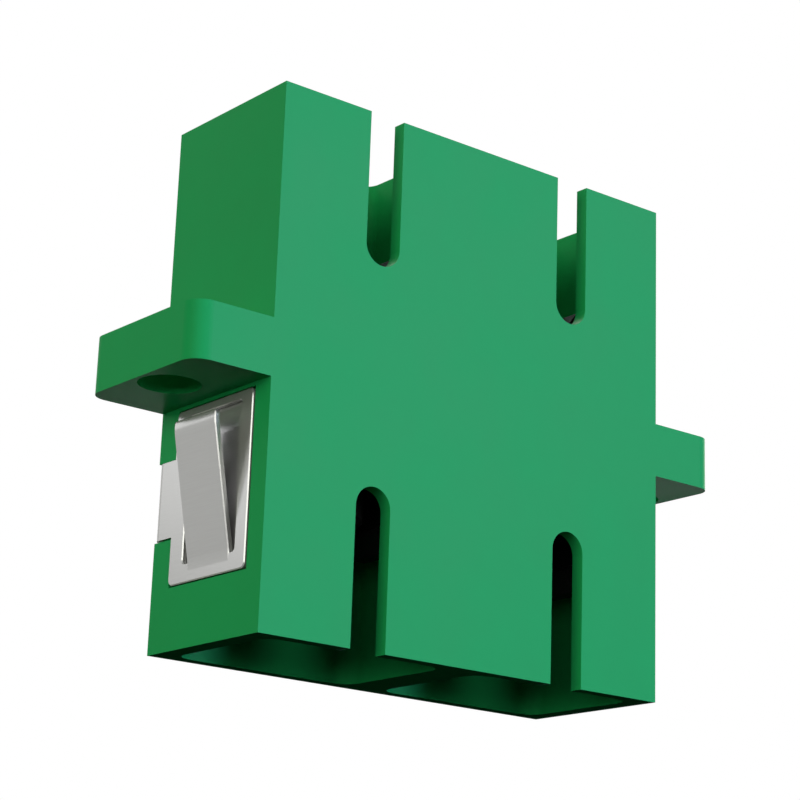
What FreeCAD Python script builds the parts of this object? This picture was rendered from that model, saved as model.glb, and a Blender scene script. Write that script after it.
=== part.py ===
import FreeCAD, Part
import math
import os

# Duplex SC fibre adapter: a moulded housing with two square ports at each end, a bent steel
# clip that snaps it into a panel, and inside each channel two latch inserts back to back
# with a split ceramic sleeve between them. All sizes are in millimetres.
# X runs across the ports, -Y is the face with the keyways and Z is the optical axis. The
# origin lies on the lower rim, below the middle of the body.

# Housing
PORT_PITCH = 12.7  # between the two optical axes
BODY_HEIGHT = 27.25  # rim to rim
CHANNEL_WIDTH = 10.6  # one channel, along X
CHANNEL_DEPTH = 7.7  # one channel, along Y
CHANNEL_CORNER = 1.0  # radius of a channel's inner corners
SIDE_WALL = 1.05  # narrow outer walls
FACE_WALL = 0.75  # keyway wall and back wall
KEYWAY_WIDTH = 2.1
KEYWAY_LENGTH = 8.0  # rim to the top of the round end
LEDGE_HEIGHT = 0.8  # shelf that the inserts sit on
LEDGE_WIDTH = 0.45  # how far the shelf stands in from the walls
SNAP_WIDTH = 3.0  # wedges that hold the inserts down
SNAP_HEIGHT = 0.9
SNAP_NOSE = 0.3  # how far a wedge stands in from its wall

# Flange
FLANGE_THICKNESS = 2.9
EAR_HOLE_OFFSET = 2.65  # hole centre beyond the narrow face
EAR_MARGIN = 1.75  # hole centre to the end of the ear
EAR_HOLE_RADIUS = 1.55
EAR_CORNER = 1.0

# Spring clip
SHEET = 0.25  # thickness of the steel
EDGE_BREAK = 0.05  # chamfer on the outer edges of the legs, windows and tongues
CLIP_PROUD = 0.1  # leg's outer face beyond the narrow face
CLIP_CLEARANCE = 0.06  # between the clip and the housing
STRAP_BEND = 0.5  # outer radius where the strap turns the corner
STRAP_HEIGHT = 3.9
STRAP_INSET = 0.0  # strap below the back face
STRAP_LAP = 0.6  # how far the strap's ends reach into the legs' outer leaves
LEG_HEIGHT = 8.75
LEG_WIDTH = 6.36
LEG_TOP_GAP = 0.25  # below the flange
LEG_FRONT_MARGIN = 1.27  # keyway face to the front edge of the leg
LEG_CORNER = 0.3
FOLD_GAP = 0.05  # between the two leaves of the folded leg
FOLD_BEND = 0.1  # outside of the fold's corners
FOLD_LIP = 0.5  # inner leaf stops this far above the bottom of the leg
WINDOW_FOOT = 0.94  # bottom of the leg to the end of the slots
WINDOW_HEAD = 0.45  # window to the top of the leg
WINDOW_WIDTH = 4.35
WINDOW_SHIFT = 0.13  # window's middle in front of the leg's middle
WINDOW_CORNER = 0.2
TONGUE_WIDTH = 3.47
TONGUE_SHIFT = 0.17  # tongue's middle in front of the leg's middle
TONGUE_CORNER = 0.25
TONGUE_ROOT = 0.82  # bottom of the leg to the bend where the tongue leaves it
TONGUE_ROOT_BEND = 3.0
TONGUE_RISE = 6.45  # root bend to the curl, upwards
TONGUE_REACH = 1.24  # curl's corner, outwards
TONGUE_CURL = 2.2
TONGUE_TIP_RISE = 0.44  # curl to the tip, upwards
TONGUE_TIP_DROP = 0.04  # curl to the tip, inwards

# Latch inserts
INSERT_CLEARANCE = 0.1  # plate to channel walls
SEAT_CLEARANCE = 0.05  # plates to shelf and wedges
PLATE_THICKNESS = 1.4
PEG_X = 4.3
PEG_Y = 2.5
PEG_RADIUS = 0.4
PEG_HEIGHT = 0.7
PEG_CLEARANCE = 0.05
BARREL_RADIUS = 2.35
BARREL_CHAMFER = 0.25
LIP_THICKNESS = 1.0  # end wall that keeps the sleeve in
LIP_RADIUS = 1.42  # the ferrule passes through it
LEAD_IN = 0.45  # cone at the mouth of the barrel
HOOK_LENGTH = 7.8  # middle of the adapter to the tip of the hooks
HOOK_INNER = 3.4  # optical axis to the inside of a hook arm
HOOK_THICKNESS = 0.8
HOOK_WIDTH = 2.8
HOOK_NOSE = 0.65  # how far the nose stands in
HOOK_CATCH = 0.4  # height of the slope that holds the plug
HOOK_LAND = 0.25  # flat top of the nose
HOOK_LEAD = 0.85  # height of the slope that lets the plug in
HOOK_ROOT = 0.4  # fillet where the arm meets the plate

# Split sleeves
SLEEVE_LENGTH = 11.4
SLEEVE_RADIUS = 1.6
SLEEVE_BORE = 1.245
SLEEVE_SLIT = 0.5
SLEEVE_CHAMFER = 0.15
SLEEVE_CLEARANCE = 0.075  # around the sleeve, and at each end of it

# Worked out from the sizes above
BODY_WIDTH = PORT_PITCH + CHANNEL_WIDTH + 2 * SIDE_WALL
BODY_DEPTH = CHANNEL_DEPTH + 2 * FACE_WALL
MIDDLE = BODY_HEIGHT / 2
FLANGE_FOOT = MIDDLE - FLANGE_THICKNESS / 2
HOLE_X = BODY_WIDTH / 2 + EAR_HOLE_OFFSET
LEG_TOP = FLANGE_FOOT - LEG_TOP_GAP
LEG_FOOT = LEG_TOP - LEG_HEIGHT
LEG_MIDDLE = (LEG_TOP + LEG_FOOT) / 2
LEG_Y = LEG_FRONT_MARGIN + LEG_WIDTH / 2 - BODY_DEPTH / 2
LEG_X = BODY_WIDTH / 2 + CLIP_PROUD  # outer face of the leg
TONGUE_Y = LEG_Y - TONGUE_SHIFT
FOLD_DEPTH = 2 * SHEET + FOLD_GAP
STRAP_Y = BODY_DEPTH / 2 - STRAP_INSET  # outer face of the strap
SLEEVE_ROOM = SLEEVE_LENGTH / 2 + SLEEVE_CLEARANCE
BARREL_LENGTH = SLEEVE_ROOM + LIP_THICKNESS
OVERCUT = 1.0  # how far a cutting solid runs past the face that it opens
TOUCH = 0.001  # two places this close are the same


def vec(x, y, z):
    return FreeCAD.Vector(x, y, z)


def box(x0, x1, y0, y1, z0, z1):
    return Part.makeBox(x1 - x0, y1 - y0, z1 - z0, vec(x0, y0, z0))


def prism(points, along):
    """Closed outline of straight edges, pushed along a vector."""
    return Part.Face(Part.makePolygon(points + points[:1])).extrude(along)


def edges_along(solid, axis):
    return [edge for edge in solid.Edges if abs(edge.tangentAt(edge.FirstParameter).dot(axis)) > 0.5]


def upright_block(width, depth, z0, z1, radius):
    """Block about the Z axis whose upright edges are rounded."""
    block = box(-width / 2, width / 2, -depth / 2, depth / 2, z0, z1)
    return block.makeFillet(radius, edges_along(block, vec(0, 0, 1)))


def side_plate(x0, x1, width, height, radius, middle):
    """Plate that faces X, centred on Y and on a height, whose corners are rounded."""
    plate = box(x0, x1, -width / 2, width / 2, middle - height / 2, middle + height / 2)
    return plate.makeFillet(radius, edges_along(plate, vec(1, 0, 0)))


def moved(shape, x=0.0, y=0.0, z=0.0):
    return shape.translated(vec(x, y, z))


def mirrored_x(shape):
    return shape.mirror(vec(0, 0, 0), vec(1, 0, 0))


def bent_path(points, radii):
    """Straight runs through the points, with an arc of its own radius at each inner one."""
    edges = []
    here = points[0]
    for before, corner, after, radius in zip(points, points[1:], points[2:], radii):
        back = (before - corner).normalize()
        ahead = (after - corner).normalize()
        half = back.getAngle(ahead) / 2
        start = corner + back * (radius / math.tan(half))
        end = corner + ahead * (radius / math.tan(half))
        middle = corner + (back + ahead).normalize() * (radius / math.sin(half) - radius)
        if here.distanceToPoint(start) > 1e-6:
            edges.append(Part.makeLine(here, start))
        edges.append(Part.Arc(start, middle, end).toShape())
        here = end
    edges.append(Part.makeLine(here, points[-1]))
    return Part.Wire(edges)


def bent_sheet(points, radii, along):
    """Sheet steel whose outer face follows a path, pushed to its width."""
    return bent_path(points, radii).makeOffset2D(SHEET, 0, True, True).extrude(along)


def ears():
    """Flange plate through the whole body, with a screw hole in each ear."""
    plate = upright_block(
        2 * (HOLE_X + EAR_MARGIN), BODY_DEPTH, FLANGE_FOOT, FLANGE_FOOT + FLANGE_THICKNESS, EAR_CORNER
    )
    for x in (-HOLE_X, HOLE_X):
        plate = plate.cut(Part.makeCylinder(EAR_HOLE_RADIUS, BODY_HEIGHT, vec(x, 0, 0)))
    return plate


def channel():
    """Space of one channel, narrower at the shelf, with a keyway at each end."""
    shelf_top = MIDDLE - PLATE_THICKNESS - SEAT_CLEARANCE
    shelf_foot = shelf_top - LEDGE_HEIGHT
    width = CHANNEL_WIDTH
    depth = CHANNEL_DEPTH
    lower = upright_block(width, depth, -OVERCUT, shelf_foot, CHANNEL_CORNER)
    upper = upright_block(width, depth, shelf_top, BODY_HEIGHT + OVERCUT, CHANNEL_CORNER)
    inset = 2 * LEDGE_WIDTH
    throat = upright_block(width - inset, depth - inset, shelf_foot, shelf_top, CHANNEL_CORNER)
    space = lower.fuse(throat).fuse(upper)
    for turn in (0, 180):
        slot = keyway()
        slot.rotate(vec(0, 0, MIDDLE), vec(0, 1, 0), turn)
        space = space.fuse(slot)
    return space


def keyway():
    """Slot from the lower rim through the keyway wall, with a round end."""
    y0 = -BODY_DEPTH / 2 - OVERCUT
    y1 = -CHANNEL_DEPTH / 2 + CHANNEL_CORNER
    half = KEYWAY_WIDTH / 2
    slot = box(-half, half, y0, y1, -OVERCUT, KEYWAY_LENGTH - half)
    end = Part.makeCylinder(half, y1 - y0, vec(0, y0, KEYWAY_LENGTH - half), vec(0, 1, 0))
    return slot.fuse(end)


def snap_wedge():
    """Wedge on the back wall of a channel, flat below and sloped above."""
    wall = CHANNEL_DEPTH / 2
    z = MIDDLE + PLATE_THICKNESS + SEAT_CLEARANCE
    x = -SNAP_WIDTH / 2
    root = wall + FACE_WALL / 2
    outline = [
        vec(x, root, z),
        vec(x, wall - SNAP_NOSE, z),
        vec(x, wall, z + SNAP_HEIGHT),
        vec(x, root, z + SNAP_HEIGHT),
    ]
    return prism(outline, vec(SNAP_WIDTH, 0, 0))


def clip_seat():
    """Pockets in the narrow faces and the groove round the back that the clip lies in."""
    floor_x = LEG_X - FOLD_DEPTH - CLIP_CLEARANCE
    outside = BODY_WIDTH / 2 + OVERCUT
    half = LEG_WIDTH / 2 + CLIP_CLEARANCE
    foot = LEG_FOOT - CLIP_CLEARANCE
    pocket = box(floor_x, outside, LEG_Y - half, LEG_Y + half, foot, LEG_TOP + CLIP_CLEARANCE)
    z0 = LEG_MIDDLE - STRAP_HEIGHT / 2 - CLIP_CLEARANCE
    z1 = LEG_MIDDLE + STRAP_HEIGHT / 2 + CLIP_CLEARANCE
    band = box(-outside, outside, LEG_Y, BODY_DEPTH / 2 + OVERCUT, z0, z1)
    inset = SHEET + CLIP_CLEARANCE
    core = upright_block(2 * (LEG_X - inset), 2 * (STRAP_Y - inset), z0, z1, STRAP_BEND - SHEET)
    return band.cut(core).fuse(pocket).fuse(mirrored_x(pocket))


def housing():
    half_width = BODY_WIDTH / 2
    half_depth = BODY_DEPTH / 2
    shell = box(-half_width, half_width, -half_depth, half_depth, 0, BODY_HEIGHT).fuse(ears())
    wedge = snap_wedge()
    for x in (-PORT_PITCH / 2, PORT_PITCH / 2):
        shell = shell.cut(moved(channel(), x))
        shell = shell.fuse(moved(wedge, x))
        shell = shell.fuse(moved(wedge.mirror(vec(0, 0, 0), vec(0, 1, 0)), x))
    return shell.cut(clip_seat()).removeSplitter()


def outer_edges(solid):
    """Edges in the plane of the leg's outer face."""
    return [edge for edge in solid.Edges if edge.BoundBox.XMin > LEG_X - TOUCH]


def folded_leg():
    """Right leg: an outer leaf folded over at the top into an inner leaf."""
    y = LEG_Y - LEG_WIDTH / 2
    inner_x = LEG_X - FOLD_DEPTH
    path = [
        vec(LEG_X, y, LEG_FOOT),
        vec(LEG_X, y, LEG_TOP),
        vec(inner_x, y, LEG_TOP),
        vec(inner_x, y, LEG_FOOT + FOLD_LIP),
    ]
    leaves = bent_sheet(path, [FOLD_BEND, FOLD_BEND], vec(0, LEG_WIDTH, 0))
    outline = side_plate(inner_x, LEG_X, LEG_WIDTH, LEG_HEIGHT, LEG_CORNER, LEG_MIDDLE)
    outline = outline.makeChamfer(EDGE_BREAK, outer_edges(outline))
    return leaves.common(moved(outline, y=LEG_Y))


def leg_window():
    """Opening that the tongue and its two slots leave in the outer leaf."""
    height = LEG_HEIGHT - WINDOW_FOOT - WINDOW_HEAD
    middle = LEG_FOOT + WINDOW_FOOT + height / 2
    x0 = LEG_X - SHEET - FOLD_GAP / 2
    window = side_plate(x0, LEG_X + OVERCUT, WINDOW_WIDTH, height, WINDOW_CORNER, middle)
    return moved(window, y=LEG_Y - WINDOW_SHIFT)


def windowed_leg():
    """Right leg with its window, whose outer rim is chamfered."""
    window = leg_window()
    leg = folded_leg().cut(window)
    rim = [edge for edge in outer_edges(leg) if window.isInside(edge.CenterOfMass, TOUCH, True)]
    return leg.makeChamfer(EDGE_BREAK, rim)


def looks_outwards(face):
    u0, u1, v0, v1 = face.ParameterRange
    return face.normalAt((u0 + u1) / 2, (v0 + v1) / 2).x > 0.9


def outer_rim(sheet):
    """Edges round the outer side of a bent sheet: those that only one of its faces has."""
    edges = [edge for face in sheet.Faces if looks_outwards(face) for edge in face.Edges]
    return [edge for edge in edges if sum(edge.isSame(other) for other in edges) == 1]


def tongue():
    """Spring tongue of the right leg, which leans out and curls in again at its tip."""
    y = TONGUE_Y - TONGUE_WIDTH / 2
    root = LEG_FOOT + TONGUE_ROOT
    curl = root + TONGUE_RISE
    path = [
        vec(LEG_X, y, LEG_FOOT + WINDOW_FOOT / 3),
        vec(LEG_X, y, root),
        vec(LEG_X + TONGUE_REACH, y, curl),
        vec(LEG_X + TONGUE_REACH - TONGUE_TIP_DROP, y, curl + TONGUE_TIP_RISE),
    ]
    blade = bent_sheet(path, [TONGUE_ROOT_BEND, TONGUE_CURL], vec(0, TONGUE_WIDTH, 0))
    blade = blade.makeChamfer(EDGE_BREAK, outer_rim(blade))
    height = curl + TONGUE_TIP_RISE - LEG_FOOT
    middle = LEG_FOOT + height / 2
    outline = side_plate(0, LEG_X + 2 * TONGUE_REACH, TONGUE_WIDTH, height, TONGUE_CORNER, middle)
    return blade.common(moved(outline, y=TONGUE_Y))


def strap():
    """Band that joins the legs round the back of the housing."""
    z = LEG_MIDDLE - STRAP_HEIGHT / 2
    start = LEG_Y + LEG_WIDTH / 2 - STRAP_LAP
    path = [
        vec(-LEG_X, start, z),
        vec(-LEG_X, STRAP_Y, z),
        vec(LEG_X, STRAP_Y, z),
        vec(LEG_X, start, z),
    ]
    return bent_sheet(path, [STRAP_BEND, STRAP_BEND], vec(0, 0, STRAP_HEIGHT))


def spring_clip():
    clip = strap()
    leg = windowed_leg().fuse(tongue())
    return clip.fuse(leg).fuse(mirrored_x(leg)).removeSplitter()


def hook():
    """Latch arm on the +X side of a port, with its nose towards the optical axis."""
    outer = HOOK_INNER + HOOK_THICKNESS
    tip = HOOK_INNER - HOOK_NOSE
    y = -HOOK_WIDTH / 2
    land = HOOK_LENGTH - HOOK_LEAD
    outline = [
        vec(HOOK_INNER, y, 0),
        vec(outer, y, 0),
        vec(outer, y, HOOK_LENGTH),
        vec(HOOK_INNER, y, HOOK_LENGTH),
        vec(tip, y, land),
        vec(tip, y, land - HOOK_LAND),
        vec(HOOK_INNER, y, land - HOOK_LAND - HOOK_CATCH),
    ]
    return prism(outline, vec(0, HOOK_WIDTH, 0))


def sleeve_barrel():
    """Turned form of the sleeve holder, from the middle of the adapter outwards."""
    outline = [
        vec(0, 0, 0),
        vec(BARREL_RADIUS, 0, 0),
        vec(BARREL_RADIUS, 0, BARREL_LENGTH - BARREL_CHAMFER),
        vec(BARREL_RADIUS - BARREL_CHAMFER, 0, BARREL_LENGTH),
        vec(0, 0, BARREL_LENGTH),
    ]
    return Part.Face(Part.makePolygon(outline + outline[:1])).revolve(vec(0, 0, 0), vec(0, 0, 1), 360)


def sleeve_room():
    """Space inside the barrel: the sleeve's bore, the lip's hole and the cone at its mouth."""
    radius = SLEEVE_RADIUS + SLEEVE_CLEARANCE
    outline = [
        vec(0, 0, -OVERCUT),
        vec(radius, 0, -OVERCUT),
        vec(radius, 0, SLEEVE_ROOM),
        vec(LIP_RADIUS, 0, SLEEVE_ROOM),
        vec(LIP_RADIUS, 0, BARREL_LENGTH - LEAD_IN),
        vec(LIP_RADIUS + LEAD_IN, 0, BARREL_LENGTH),
        vec(LIP_RADIUS + LEAD_IN, 0, BARREL_LENGTH + OVERCUT),
        vec(0, 0, BARREL_LENGTH + OVERCUT),
    ]
    return Part.Face(Part.makePolygon(outline + outline[:1])).revolve(vec(0, 0, 0), vec(0, 0, 1), 360)


def latch_insert():
    """One insert: a plate with two hooks and a barrel, its flat back at the origin.

    Its pegs and peg holes fit those of a second insert that is turned about X.
    """
    width = CHANNEL_WIDTH - 2 * INSERT_CLEARANCE
    depth = CHANNEL_DEPTH - 2 * INSERT_CLEARANCE
    insert = upright_block(width, depth, 0, PLATE_THICKNESS, CHANNEL_CORNER)
    insert = insert.fuse(sleeve_barrel())
    arm = hook()
    insert = insert.fuse(arm).fuse(mirrored_x(arm))
    roots = [edge for edge in insert.Edges if is_hook_root(edge)]
    insert = insert.makeFillet(HOOK_ROOT, roots)
    for sign in (-1, 1):
        peg_foot = vec(sign * PEG_X, sign * PEG_Y, -PEG_HEIGHT)
        peg = Part.makeCylinder(PEG_RADIUS, 2 * PEG_HEIGHT, peg_foot)
        hole_foot = vec(sign * PEG_X, -sign * PEG_Y, 0)
        hole = Part.makeCylinder(PEG_RADIUS + PEG_CLEARANCE, PEG_HEIGHT + PEG_CLEARANCE, hole_foot)
        insert = insert.fuse(peg).cut(hole)
    return insert.cut(sleeve_room()).removeSplitter()


def is_hook_root(edge):
    """True for the edge where the inside of a hook arm meets the plate."""
    middle = edge.CenterOfMass
    on_plate = abs(middle.z - PLATE_THICKNESS) < 1e-6
    return on_plate and abs(abs(middle.x) - HOOK_INNER) < 1e-6 and abs(middle.y) < 1e-6


def split_sleeve():
    """Ceramic tube with chamfered ends, slit along its whole length."""
    half = SLEEVE_LENGTH / 2
    outline = [
        vec(SLEEVE_BORE + SLEEVE_CHAMFER, 0, -half),
        vec(SLEEVE_RADIUS, 0, -half),
        vec(SLEEVE_RADIUS, 0, half),
        vec(SLEEVE_BORE + SLEEVE_CHAMFER, 0, half),
        vec(SLEEVE_BORE, 0, half - SLEEVE_CHAMFER),
        vec(SLEEVE_BORE, 0, SLEEVE_CHAMFER - half),
    ]
    tube = Part.Face(Part.makePolygon(outline + outline[:1])).revolve(vec(0, 0, 0), vec(0, 0, 1), 360)
    slit = SLEEVE_SLIT / 2
    return tube.cut(box(-slit, slit, 0, 2 * SLEEVE_RADIUS, -half - OVERCUT, half + OVERCUT))


def parts():
    """Every sub-part in its place, by name."""
    placed = {"housing": housing(), "spring_clip": spring_clip()}
    for side, x in (("left", -PORT_PITCH / 2), ("right", PORT_PITCH / 2)):
        upper = moved(latch_insert(), x, z=MIDDLE)
        lower = latch_insert()
        lower.rotate(vec(0, 0, 0), vec(1, 0, 0), 180)
        placed[f"latch_insert_upper_{side}"] = upper
        placed[f"latch_insert_lower_{side}"] = moved(lower, x, z=MIDDLE)
        placed[f"split_sleeve_{side}"] = moved(split_sleeve(), x, z=MIDDLE)
    return placed


os.makedirs("parts", exist_ok=True)
for name, shape in parts().items():
    shape.exportStep(f"parts/{name}.step")
    print(name, shape.ShapeType, len(shape.Solids), shape.isValid(), round(shape.Volume, 3))
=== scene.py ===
import math
import bpy
from mathutils import Matrix, Vector


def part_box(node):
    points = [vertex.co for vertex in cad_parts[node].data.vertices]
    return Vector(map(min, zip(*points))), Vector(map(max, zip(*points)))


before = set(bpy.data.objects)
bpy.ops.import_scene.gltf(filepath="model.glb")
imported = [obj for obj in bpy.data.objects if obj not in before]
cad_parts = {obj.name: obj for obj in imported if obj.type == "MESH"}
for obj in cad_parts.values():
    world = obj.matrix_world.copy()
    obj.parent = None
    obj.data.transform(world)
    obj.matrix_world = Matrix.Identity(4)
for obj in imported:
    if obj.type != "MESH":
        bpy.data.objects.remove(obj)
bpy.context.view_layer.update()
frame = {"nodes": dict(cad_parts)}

# Looks of a duplex SC fibre adapter: green moulded housing, stainless spring clip, black latch
# inserts and ceramic split sleeves. All lengths are in metres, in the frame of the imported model.

MM = 0.001

# Viewpoint: low, in front of the keyway face and to its left, looking up past the lower rim
VIEW_AZIMUTH = math.radians(-38.445)
VIEW_ELEVATION = math.radians(-16.579)
VIEW_ROLL = math.radians(2.025)
VIEW_DISTANCE = 117.85 * MM
VIEW_SLIDE_ACROSS = -0.979 * MM
VIEW_SLIDE_UP = 1.005 * MM
SENSOR_WIDTH = 36
LENS = 102.19  # focal length for that sensor
LENS_NEAR = 1 * MM  # nearest distance that is drawn

# Light: soft distant lamps and a dim surround. Each lamp has its azimuth, elevation and spread in
# degrees, its level and its tint. Azimuth 0 is straight in front of the keyway face, 90 to its right.
# A level of 1 on a face that looks straight at the lamp renders a colour as it is written.
LAMPS = (
    ("key_lamp", 32, 18, 24, 0.75, (1.08, 1.0, 1.54)),
    ("fill_lamp", -12, 4, 24, 0.16, (1.0, 1.0, 1.0)),
    ("corner_lamp", -48, 8, 30, 0.20, (1.0, 1.0, 0.9)),
    ("side_lamp", -82, 5, 26, 0.35, (0.9, 1.0, 0.72)),
    ("right_lamp", 104, 12, 34, 0.22, (1.0, 1.0, 0.8)),
    ("top_lamp", 160, 46, 40, 0.45, (1.0, 1.0, 1.0)),
    ("rim_lamp", -142, 27, 30, 0.062, (1.0, 1.0, 1.0)),
)
SURROUND_ABOVE = 0.08  # strength overhead, and down to SURROUND_HIGH
SURROUND_BELOW = 0.01  # strength below SURROUND_LOW
SURROUND_HIGH = 0.3  # heights on a sphere of radius 1
SURROUND_LOW = -0.6

# Floor
FLOOR_SIZE = 4.0
FLOOR_DROP = 0.01 * MM  # below the lower rim, so that the two faces don't coincide
FLOOR_PALE = (0.87, 0.87, 0.81, 1)
FLOOR_NEAR = 60 * MM  # beyond this the floor begins to pass into the white surround
FLOOR_FAR = 260 * MM


# Viewpoint and light


def direction(azimuth, elevation):
    """Unit vector from the object, for angles in radians."""
    level = math.cos(elevation)
    return Vector((math.sin(azimuth) * level, -math.cos(azimuth) * level, math.sin(elevation)))


def add_camera(centre):
    back = direction(VIEW_AZIMUTH, VIEW_ELEVATION)
    level = Vector((0, 0, 1)).cross(back).normalized()
    upright = back.cross(level)
    right = math.cos(VIEW_ROLL) * level + math.sin(VIEW_ROLL) * upright
    up = math.cos(VIEW_ROLL) * upright - math.sin(VIEW_ROLL) * level
    place = centre + VIEW_SLIDE_ACROSS * right + VIEW_SLIDE_UP * up + VIEW_DISTANCE * back
    lens = bpy.data.cameras.new("camera")
    lens.lens = LENS
    lens.sensor_width = SENSOR_WIDTH
    lens.clip_start = LENS_NEAR
    camera = bpy.data.objects.new("camera", lens)
    camera.matrix_world = Matrix.Translation(place) @ Matrix((right, up, back)).transposed().to_4x4()
    bpy.context.scene.collection.objects.link(camera)
    bpy.context.scene.camera = camera


def add_lamp(name, azimuth, elevation, spread, level, tint):
    """Soft lamp a long way off, with its angles in degrees."""
    lamp = bpy.data.lights.new(name, "SUN")
    lamp.energy = level * math.pi
    lamp.angle = math.radians(spread)
    lamp.color = tint
    holder = bpy.data.objects.new(name, lamp)
    towards = direction(math.radians(azimuth), math.radians(elevation))
    holder.rotation_euler = towards.to_track_quat("Z", "Y").to_euler()
    bpy.context.scene.collection.objects.link(holder)


def seen_directly(nodes, links, path):
    """1 for rays that show the background: from the camera, off gloss and through glass."""
    either = nodes.new("ShaderNodeMath")
    either.operation = "MAXIMUM"
    links.new(path.outputs["Is Camera Ray"], either.inputs[0])
    links.new(path.outputs["Is Glossy Ray"], either.inputs[1])
    any_of = nodes.new("ShaderNodeMath")
    any_of.operation = "MAXIMUM"
    links.new(either.outputs[0], any_of.inputs[0])
    links.new(path.outputs["Is Transmission Ray"], any_of.inputs[1])
    return any_of.outputs[0]


def add_surround():
    """White where it is seen, and a dim light from above elsewhere, fading out below."""
    world = bpy.data.worlds.new("surround")
    bpy.context.scene.world = world
    world.use_nodes = True
    nodes = world.node_tree.nodes
    links = world.node_tree.links
    nodes.clear()
    sky = nodes.new("ShaderNodeTexCoord")
    height = nodes.new("ShaderNodeSeparateXYZ")
    links.new(sky.outputs["Generated"], height.inputs[0])
    fade = nodes.new("ShaderNodeMapRange")
    fade.interpolation_type = "SMOOTHSTEP"
    fade.inputs["From Min"].default_value = SURROUND_LOW
    fade.inputs["From Max"].default_value = SURROUND_HIGH
    fade.inputs["To Min"].default_value = SURROUND_BELOW
    fade.inputs["To Max"].default_value = SURROUND_ABOVE
    links.new(height.outputs["Z"], fade.inputs["Value"])
    dim = nodes.new("ShaderNodeBackground")
    links.new(fade.outputs["Result"], dim.inputs["Strength"])
    white = nodes.new("ShaderNodeBackground")
    mix = nodes.new("ShaderNodeMixShader")
    out = nodes.new("ShaderNodeOutputWorld")
    path = nodes.new("ShaderNodeLightPath")
    links.new(seen_directly(nodes, links, path), mix.inputs["Fac"])
    links.new(dim.outputs[0], mix.inputs[1])
    links.new(white.outputs[0], mix.inputs[2])
    links.new(mix.outputs[0], out.inputs["Surface"])
    for background in (dim, white):
        background.inputs["Color"].default_value = (1, 1, 1, 1)


def floor_finish():
    """Pale near the object, with its shadow, and white far off. Clear from below and to soft light."""
    finish = bpy.data.materials.new("floor")
    finish.use_nodes = True
    nodes = finish.node_tree.nodes
    links = finish.node_tree.links
    nodes.clear()
    place = nodes.new("ShaderNodeTexCoord")
    reach = nodes.new("ShaderNodeVectorMath")
    reach.operation = "LENGTH"
    links.new(place.outputs["Object"], reach.inputs[0])
    far = nodes.new("ShaderNodeMapRange")
    far.interpolation_type = "SMOOTHSTEP"
    far.inputs["From Min"].default_value = FLOOR_NEAR
    far.inputs["From Max"].default_value = FLOOR_FAR
    links.new(reach.outputs["Value"], far.inputs["Value"])
    path = nodes.new("ShaderNodeLightPath")
    pale = nodes.new("ShaderNodeBsdfDiffuse")
    pale.inputs["Color"].default_value = FLOOR_PALE
    white = nodes.new("ShaderNodeEmission")
    surface = nodes.new("ShaderNodeMixShader")
    links.new(far.outputs["Result"], surface.inputs["Fac"])
    links.new(pale.outputs[0], surface.inputs[1])
    links.new(white.outputs[0], surface.inputs[2])
    side = nodes.new("ShaderNodeNewGeometry")
    above = nodes.new("ShaderNodeMath")
    above.operation = "SUBTRACT"
    above.inputs[0].default_value = 1
    links.new(side.outputs["Backfacing"], above.inputs[1])
    shown = nodes.new("ShaderNodeMath")
    shown.operation = "MULTIPLY"
    links.new(above.outputs[0], shown.inputs[0])
    links.new(seen_directly(nodes, links, path), shown.inputs[1])
    clear = nodes.new("ShaderNodeBsdfTransparent")
    mix = nodes.new("ShaderNodeMixShader")
    out = nodes.new("ShaderNodeOutputMaterial")
    links.new(shown.outputs[0], mix.inputs["Fac"])
    links.new(clear.outputs[0], mix.inputs[1])
    links.new(surface.outputs[0], mix.inputs[2])
    links.new(mix.outputs[0], out.inputs["Surface"])
    return finish


def add_floor(level):
    half = FLOOR_SIZE / 2
    mesh = bpy.data.meshes.new("floor")
    corners = [(-half, -half, 0), (half, -half, 0), (half, half, 0), (-half, half, 0)]
    mesh.from_pydata(corners, [], [(0, 1, 2, 3)])
    mesh.materials.append(floor_finish())
    floor = bpy.data.objects.new("floor", mesh)
    floor.location.z = level - FLOOR_DROP
    bpy.context.scene.collection.objects.link(floor)


# Effects that several finishes share. Each is built once.


def new_effect(name, inputs, outputs):
    """Empty node group with named number inputs and outputs."""
    effect = bpy.data.node_groups.new(name, "ShaderNodeTree")
    for title, start in inputs:
        socket = effect.interface.new_socket(title, in_out="INPUT", socket_type="NodeSocketFloat")
        socket.default_value = start
    for title in outputs:
        effect.interface.new_socket(title, in_out="OUTPUT", socket_type="NodeSocketFloat")
    return effect, effect.nodes.new("NodeGroupInput"), effect.nodes.new("NodeGroupOutput")


def ramped(nodes, links, value, low, high, to_low=0.0, to_high=1.0):
    """Stretch a value from one range to another."""
    node = nodes.new("ShaderNodeMapRange")
    node.inputs["From Min"].default_value = low
    node.inputs["From Max"].default_value = high
    node.inputs["To Min"].default_value = to_low
    node.inputs["To Max"].default_value = to_high
    links.new(value, node.inputs["Value"])
    return node.outputs["Result"]


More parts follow.
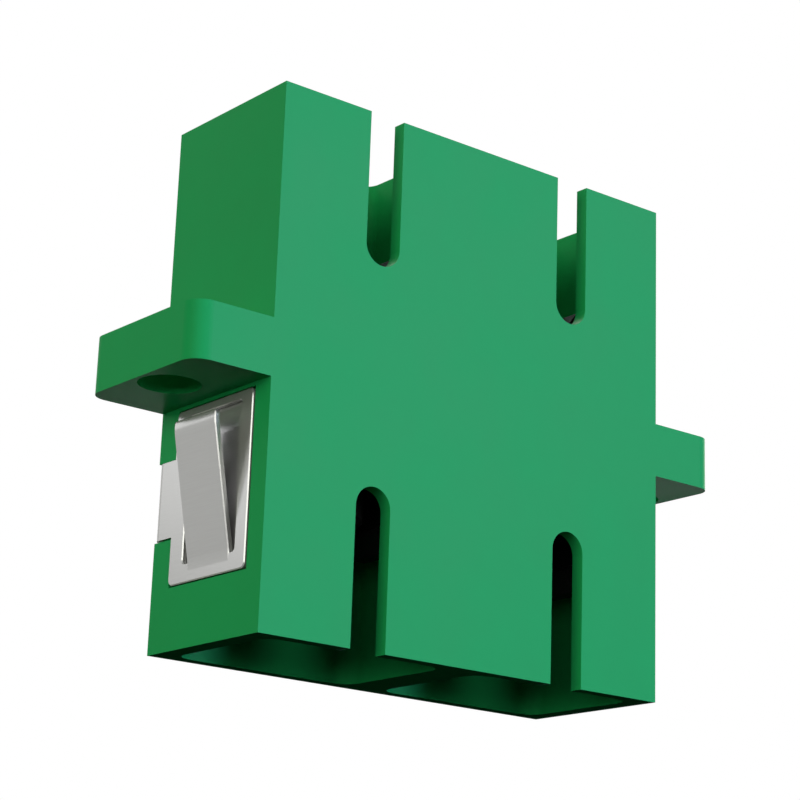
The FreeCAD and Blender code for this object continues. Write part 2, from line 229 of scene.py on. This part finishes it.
def moulded_skin():
    """Fine spark-eroded grain of a mould, with slow drifts in tone and gloss.

    Grain is the size of one grain and Drift that of one patch, both in millimetres.
    """
    effect, given, result = new_effect(
        "moulded_skin", [("Grain", 0.08), ("Drift", 4.0)], ["Height", "Tone", "Gloss"]
    )
    nodes = effect.nodes
    links = effect.links
    place = nodes.new("ShaderNodeTexCoord")
    for title, size, detail, low, high in (
        ("Height", "Grain", 2.0, 0.25, 0.75),
        ("Tone", "Drift", 3.0, 0.3, 0.7),
        ("Gloss", "Drift", 5.0, 0.35, 0.65),
    ):
        per_metre = nodes.new("ShaderNodeMath")
        per_metre.operation = "DIVIDE"
        per_metre.inputs[0].default_value = 1000
        links.new(given.outputs[size], per_metre.inputs[1])
        noise = nodes.new("ShaderNodeTexNoise")
        noise.inputs["Detail"].default_value = detail
        links.new(place.outputs["Object"], noise.inputs["Vector"])
        links.new(per_metre.outputs[0], noise.inputs["Scale"])
        links.new(ramped(nodes, links, noise.outputs["Fac"], low, high), result.inputs[title])
    return effect


def rolled_grain():
    """Long fine lines that rolling or grinding leaves, along X and Y and close together in Z.

    Line is the width of one line and Length its length, both in millimetres.
    """
    effect, given, result = new_effect(
        "rolled_grain", [("Line", 0.03), ("Length", 2.0)], ["Height", "Streak"]
    )
    nodes = effect.nodes
    links = effect.links
    place = nodes.new("ShaderNodeTexCoord")
    stretch = nodes.new("ShaderNodeCombineXYZ")
    for axis, size in (("X", "Length"), ("Y", "Length"), ("Z", "Line")):
        per_metre = nodes.new("ShaderNodeMath")
        per_metre.operation = "DIVIDE"
        per_metre.inputs[0].default_value = 1000
        links.new(given.outputs[size], per_metre.inputs[1])
        links.new(per_metre.outputs[0], stretch.inputs[axis])
    scaled = nodes.new("ShaderNodeVectorMath")
    scaled.operation = "MULTIPLY"
    links.new(place.outputs["Object"], scaled.inputs[0])
    links.new(stretch.outputs[0], scaled.inputs[1])
    for title, detail, low, high in (("Height", 3.0, 0.25, 0.75), ("Streak", 1.0, 0.35, 0.65)):
        noise = nodes.new("ShaderNodeTexNoise")
        noise.inputs["Scale"].default_value = 1
        noise.inputs["Detail"].default_value = detail
        links.new(scaled.outputs[0], noise.inputs["Vector"])
        links.new(ramped(nodes, links, noise.outputs["Fac"], low, high), result.inputs[title])
    return effect


# Finishes


def new_finish(name):
    """Material with a Principled shader, and its nodes and links."""
    finish = bpy.data.materials.new(name)
    finish.use_nodes = True
    tree = finish.node_tree
    return finish, tree.nodes, tree.links, tree.nodes["Principled BSDF"]


def placed_effect(nodes, effect, **values):
    """One use of a shared effect, with this finish's own values."""
    node = nodes.new("ShaderNodeGroup")
    node.node_tree = effect
    for title, value in values.items():
        node.inputs[title].default_value = value
    return node


def tinted(nodes, links, factor, dark, light, shader):
    """Base colour that runs from one tone to another with a mask."""
    mix = nodes.new("ShaderNodeMix")
    mix.data_type = "RGBA"
    mix.inputs["A"].default_value = dark
    mix.inputs["B"].default_value = light
    links.new(factor, mix.inputs["Factor"])
    links.new(mix.outputs["Result"], shader.inputs["Base Color"])


def raised(nodes, links, height, depth, shader):
    """Bump of a real depth, in metres."""
    bump = nodes.new("ShaderNodeBump")
    bump.inputs["Strength"].default_value = 1
    bump.inputs["Distance"].default_value = depth
    links.new(height, bump.inputs["Height"])
    links.new(bump.outputs["Normal"], shader.inputs["Normal"])


def green_plastic(skin):
    """Housing: glass-filled moulded plastic, flat and even, with little gloss."""
    finish, nodes, links, shader = new_finish("green_moulded_plastic")
    grain = placed_effect(nodes, skin, Grain=0.09, Drift=5.0)
    tinted(nodes, links, grain.outputs["Tone"], (0.0115, 0.302, 0.085, 1), (0.0125, 0.318, 0.091, 1), shader)
    gloss = ramped(nodes, links, grain.outputs["Gloss"], 0, 1, 0.35, 0.41)
    links.new(gloss, shader.inputs["Roughness"])
    shader.inputs["Specular IOR Level"].default_value = 0.024
    raised(nodes, links, grain.outputs["Height"], 0.0008 * MM, shader)
    return finish


def black_plastic(skin):
    """Latch inserts: black moulded plastic, matt."""
    finish, nodes, links, shader = new_finish("black_moulded_plastic")
    grain = placed_effect(nodes, skin, Grain=0.12, Drift=3.0)
    tinted(nodes, links, grain.outputs["Tone"], (0.010, 0.010, 0.011, 1), (0.016, 0.016, 0.017, 1), shader)
    gloss = ramped(nodes, links, grain.outputs["Gloss"], 0, 1, 0.45, 0.60)
    links.new(gloss, shader.inputs["Roughness"])
    shader.inputs["Specular IOR Level"].default_value = 0.08
    raised(nodes, links, grain.outputs["Height"], 0.002 * MM, shader)
    return finish


def spring_steel(rolled):
    """Clip: bright-rolled stainless strip, with fine lines along the strip."""
    finish, nodes, links, shader = new_finish("rolled_spring_steel")
    lines = placed_effect(nodes, rolled, Line=0.02, Length=1.6)
    tinted(nodes, links, lines.outputs["Streak"], (0.408, 0.404, 0.408, 1), (0.431, 0.427, 0.431, 1), shader)
    gloss = ramped(nodes, links, lines.outputs["Streak"], 0, 1, 0.16, 0.20)
    links.new(gloss, shader.inputs["Roughness"])
    shader.inputs["Metallic"].default_value = 0.6
    raised(nodes, links, lines.outputs["Height"], 0.00004 * MM, shader)
    return finish


def zirconia(rolled, skin):
    """Split sleeves: ivory ceramic, ground along its length and round."""
    finish, nodes, links, shader = new_finish("ground_zirconia")
    lines = placed_effect(nodes, rolled, Line=0.02, Length=1.0)
    cloud = placed_effect(nodes, skin, Grain=0.1, Drift=2.0)
    tinted(nodes, links, cloud.outputs["Tone"], (0.80, 0.78, 0.72, 1), (0.86, 0.85, 0.80, 1), shader)
    gloss = ramped(nodes, links, lines.outputs["Streak"], 0, 1, 0.16, 0.28)
    links.new(gloss, shader.inputs["Roughness"])
    shader.inputs["IOR"].default_value = 2.1
    raised(nodes, links, lines.outputs["Height"], 0.0004 * MM, shader)
    return finish


def dress(nodes):
    """Give every node its finish."""
    skin = moulded_skin()
    rolled = rolled_grain()
    green = green_plastic(skin)
    black = black_plastic(skin)
    steel = spring_steel(rolled)
    ceramic = zirconia(rolled, skin)
    for name, piece in nodes.items():
        if name == "housing":
            finish = green
        elif name == "spring_clip":
            finish = steel
        elif name.startswith("latch_insert"):
            finish = black
        else:
            finish = ceramic
        piece.material_slots[0].material = finish


housing_low, housing_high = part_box("housing")
add_camera((housing_low + housing_high) / 2)
for lamp_values in LAMPS:
    add_lamp(*lamp_values)
add_surround()
add_floor(housing_low.z)
dress(frame["nodes"])
bpy.context.scene.view_settings.view_transform = "Standard"
